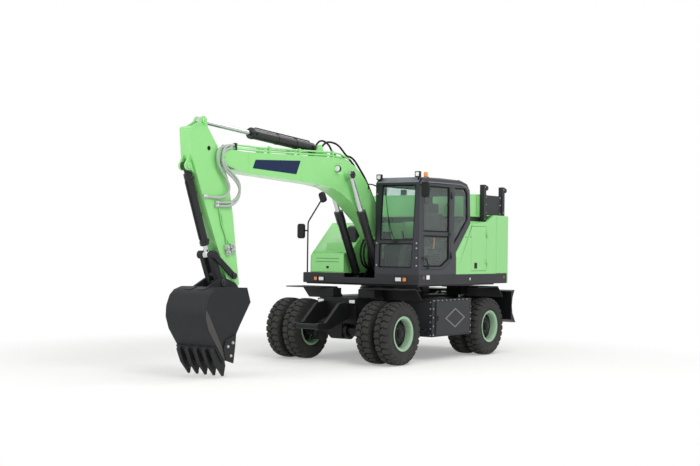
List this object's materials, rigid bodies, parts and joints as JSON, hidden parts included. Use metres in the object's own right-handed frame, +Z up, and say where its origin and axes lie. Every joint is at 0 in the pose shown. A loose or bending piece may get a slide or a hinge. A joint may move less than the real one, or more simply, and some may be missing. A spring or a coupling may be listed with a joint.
{
  "type": "wheeled excavator",
  "caption": "Wheeled excavator with twin tyres, slewing upper with side cab, one-piece boom, arm, linked bucket and a parallel rear blade; steering, doors and cylinders move.",
  "frame": {"origin": "on the ground in the centre plane under the front axle, which is within 46 mm of the middle of the machine's length", "axes": "+X forward, +Y to the left, +Z up"},
  "size_m": [7.9, 2.78, 3.87],
  "materials": {
    "body_green": "gloss light green paint",
    "chassis_black": "satin black paint",
    "cab_grey": "satin dark grey paint",
    "glass": "clear",
    "seat_cloth": "woven",
    "cab_trim": "matte",
    "tyre_rubber": "matte",
    "rim_green": "satin pale green paint",
    "rod_chrome": "polished",
    "bucket_grey": "satin dark grey paint"
  },
  "bodies": {
    "chassis": {"chassis_frame": "chassis_black", "slew_ring": "chassis_black", "mudguards": "chassis_black", "side_box_left": "chassis_black", "side_box_right": "chassis_black", "transmission": "chassis_black", "front_axle": "chassis_black", "rear_axle": "chassis_black"},
    "side_box_door_left": {"side_box_door_left": "chassis_black"},
    "side_box_door_right": {"side_box_door_right": "chassis_black"},
    "knuckle_left": {"knuckle_left": "chassis_black"},
    "knuckle_right": {"knuckle_right": "chassis_black"},
    "wheel_front_left": {"tyres_front_left": "tyre_rubber", "rims_front_left": "rim_green"},
    "wheel_front_right": {"tyres_front_right": "tyre_rubber", "rims_front_right": "rim_green"},
    "wheel_rear_left": {"tyres_rear_left": "tyre_rubber", "rims_rear_left": "rim_green"},
    "wheel_rear_right": {"tyres_rear_right": "tyre_rubber", "rims_rear_right": "rim_green"},
    "blade_arms": {"blade_arms": "chassis_black"},
    "blade_links": {"blade_links": "chassis_black"},
    "blade": {"blade": "chassis_black"},
    "blade_barrels": {"blade_barrels": "chassis_black"},
    "blade_rods": {"blade_rods": "rod_chrome"},
    "upper": {"upper_frame": "chassis_black", "skirts": "chassis_black", "counterweight": "body_green", "cab_shell": "cab_grey", "cab_glass": "glass", "seat": "seat_cloth", "steering_console": "cab_trim", "cab_base": "chassis_black", "body_hood": "body_green", "power_module": "body_green", "module_rack": "chassis_black", "toolbox": "body_green", "mirrors": "chassis_black"},
    "cab_door": {"cab_door": "cab_grey", "cab_door_glass": "glass"},
    "service_door_left": {"service_door_left": "body_green"},
    "service_door_right": {"service_door_right": "body_green"},
    "toolbox_lid": {"toolbox_lid": "body_green"},
    "boom": {"boom": "body_green"},
    "boom_cylinder_barrels": {"boom_cylinder_barrels": "chassis_black"},
    "boom_cylinder_rods": {"boom_cylinder_rods": "rod_chrome"},
    "arm_cylinder_barrel": {"arm_cylinder_barrel": "chassis_black"},
    "arm_cylinder_rod": {"arm_cylinder_rod": "rod_chrome"},
    "arm": {"arm": "body_green"},
    "bucket_cylinder_barrel": {"bucket_cylinder_barrel": "chassis_black"},
    "bucket_cylinder_rod": {"bucket_cylinder_rod": "rod_chrome"},
    "bucket_rockers": {"bucket_rockers": "bucket_grey"},
    "bucket_link": {"bucket_link": "bucket_grey"},
    "bucket": {"bucket": "bucket_grey"}
  },
  "joints": [
    {"name": "swing", "type": "hinge", "parent": "chassis", "child": "upper", "pos_m": [-1.45, 0, 1.245], "axis": [0, 0, 1], "continuous": true},
    {"name": "steer_left", "type": "hinge", "parent": "chassis", "child": "knuckle_left", "pos_m": [0, 0.56, 0.53], "axis": [0, 0, 1], "range_deg": [-30, 30]},
    {"name": "steer_right", "type": "hinge", "parent": "chassis", "child": "knuckle_right", "pos_m": [0, -0.56, 0.53], "axis": [0, 0, 1], "range_deg": [-30.01, 30.01]},
    {"name": "roll_front_left", "type": "hinge", "parent": "knuckle_left", "child": "wheel_front_left", "pos_m": [0, 0.56, 0.53], "axis": [0, 1, 0], "continuous": true},
    {"name": "roll_front_right", "type": "hinge", "parent": "knuckle_right", "child": "wheel_front_right", "pos_m": [0, -0.56, 0.53], "axis": [0, 1, 0], "continuous": true},
    {"name": "roll_rear_left", "type": "hinge", "parent": "chassis", "child": "wheel_rear_left", "pos_m": [-2.9, 0.56, 0.53], "axis": [0, 1, 0], "continuous": true},
    {"name": "roll_rear_right", "type": "hinge", "parent": "chassis", "child": "wheel_rear_right", "pos_m": [-2.9, -0.56, 0.53], "axis": [0, 1, 0], "continuous": true},
    {"name": "side_box_door_left", "type": "hinge", "parent": "chassis", "child": "side_box_door_left", "pos_m": [-2.217, 1.2423, 0.745], "axis": [0, 0, 1], "range_deg": [0, 110]},
    {"name": "side_box_door_right", "type": "hinge", "parent": "chassis", "child": "side_box_door_right", "pos_m": [-2.217, -1.2423, 0.745], "axis": [0, 0, -1], "range_deg": [0, 110]},
    {"name": "cab_door", "type": "hinge", "parent": "upper", "child": "cab_door", "pos_m": [-1.54, 1.2523, 2.3], "axis": [0, 0, 1], "range_deg": [0, 150]},
    {"name": "service_door_left", "type": "hinge", "parent": "upper", "child": "service_door_left", "pos_m": [-2.812, 1.2523, 1.97], "axis": [0, 0, 1], "range_deg": [0, 100]},
    {"name": "service_door_right", "type": "hinge", "parent": "upper", "child": "service_door_right", "pos_m": [-2.812, -1.2523, 1.97], "axis": [0, 0, -1], "range_deg": [0, 100]},
    {"name": "toolbox_lid", "type": "hinge", "parent": "upper", "child": "toolbox_lid", "pos_m": [-0.664, -0.6925, 1.873], "axis": [0, -1, 0], "range_deg": [0, 75]},
    {"name": "boom", "type": "hinge", "parent": "upper", "child": "boom", "pos_m": [-1.2, 0, 1.8], "axis": [0, -1, 0], "range_deg": [-40, 40]},
    {"name": "boom_cylinder_turn", "type": "hinge", "parent": "upper", "child": "boom_cylinder_barrels", "pos_m": [-0.8, 0, 1.42], "axis": [0, -1, 0], "range_deg": [-37.51, 37.51]},
    {"name": "boom_cylinder_stroke", "type": "slide", "parent": "boom_cylinder_barrels", "child": "boom_cylinder_rods", "axis": [0.467, 0, 0.8843], "range_m": [-0.35589, 0.35589]},
    {"name": "arm", "type": "hinge", "parent": "boom", "child": "arm", "pos_m": [3.24, 0, 3.29], "axis": [0, 1, 0], "range_deg": [-70, 35]},
    {"name": "arm_cylinder_turn", "type": "hinge", "parent": "boom", "child": "arm_cylinder_barrel", "pos_m": [0.77, 0, 3.6], "axis": [0, 1, 0], "range_deg": [-4.77, 2.38]},
    {"name": "arm_cylinder_stroke", "type": "slide", "parent": "arm_cylinder_barrel", "child": "arm_cylinder_rod", "axis": [0.9975, 0, 0.0705], "range_m": [-0.68076, 0.34038]},
    {"name": "bucket", "type": "hinge", "parent": "arm", "child": "bucket", "pos_m": [2.9, 0, 1.21], "axis": [0, 1, 0], "range_deg": [-10, 130]},
    {"name": "bucket_cylinder_turn", "type": "hinge", "parent": "arm", "child": "bucket_cylinder_barrel", "pos_m": [3.905, 0, 3.12], "axis": [0, 1, 0], "range_deg": [-8.91, 0.69]},
    {"name": "bucket_cylinder_stroke", "type": "slide", "parent": "bucket_cylinder_barrel", "child": "bucket_cylinder_rod", "axis": [-0.3558, 0, -0.9345], "range_m": [-0.06407, 0.83285]},
    {"name": "rocker_turn", "type": "hinge", "parent": "arm", "child": "bucket_rockers", "pos_m": [2.97, 0, 1.5], "axis": [0, 1, 0], "range_deg": [-7.68, 99.88]},
    {"name": "bucket_link_turn", "type": "hinge", "parent": "bucket", "child": "bucket_link", "pos_m": [3.23, 0, 1.4], "axis": [0, 1, 0], "range_deg": [-94.73, 7.29]},
    {"name": "blade", "type": "hinge", "parent": "chassis", "child": "blade_arms", "pos_m": [-3.12, 0, 0.6], "axis": [0, 1, 0], "range_deg": [-57, 0]},
    {"name": "blade_level", "type": "hinge", "parent": "blade_arms", "child": "blade", "pos_m": [-3.69, 0, 0.78], "axis": [0, 1, 0], "range_deg": [0, 57.01]},
    {"name": "blade_link_turn", "type": "hinge", "parent": "chassis", "child": "blade_links", "pos_m": [-3.12, 0, 0.9], "axis": [0, 1, 0], "range_deg": [-57.01, 0]},
    {"name": "blade_cylinder_turn", "type": "hinge", "parent": "chassis", "child": "blade_barrels", "pos_m": [-3.12, 0, 0.6], "axis": [0, 1, 0], "range_deg": [-47.37, 0]},
    {"name": "blade_cylinder_stroke", "type": "slide", "parent": "blade_barrels", "child": "blade_rods", "axis": [-0.7649, 0, 0.6441], "range_m": [-0.26914, 0]}
  ],
  "couplings": [
    {"joint": "steer_right", "follows": "steer_left", "ratio": 1},
    {"joint": "boom_cylinder_turn", "follows": "boom", "ratio": 0.93757},
    {"joint": "boom_cylinder_stroke", "follows": "boom", "m_per_rad": 0.50967},
    {"joint": "arm_cylinder_turn", "follows": "arm", "ratio": 0.068066},
    {"joint": "arm_cylinder_stroke", "follows": "arm", "m_per_rad": 0.5571},
    {"joint": "bucket_cylinder_turn", "follows": "bucket", "ratio": -0.068516},
    {"joint": "bucket_cylinder_stroke", "follows": "bucket", "m_per_rad": 0.36699},
    {"joint": "rocker_turn", "follows": "bucket", "ratio": 0.76825},
    {"joint": "bucket_link_turn", "follows": "bucket", "ratio": -0.7286},
    {"joint": "blade_level", "follows": "blade", "ratio": -1},
    {"joint": "blade_link_turn", "follows": "blade", "ratio": 1},
    {"joint": "blade_cylinder_turn", "follows": "blade", "ratio": 0.83094},
    {"joint": "blade_cylinder_stroke", "follows": "blade", "m_per_rad": 0.27048}
  ]
}
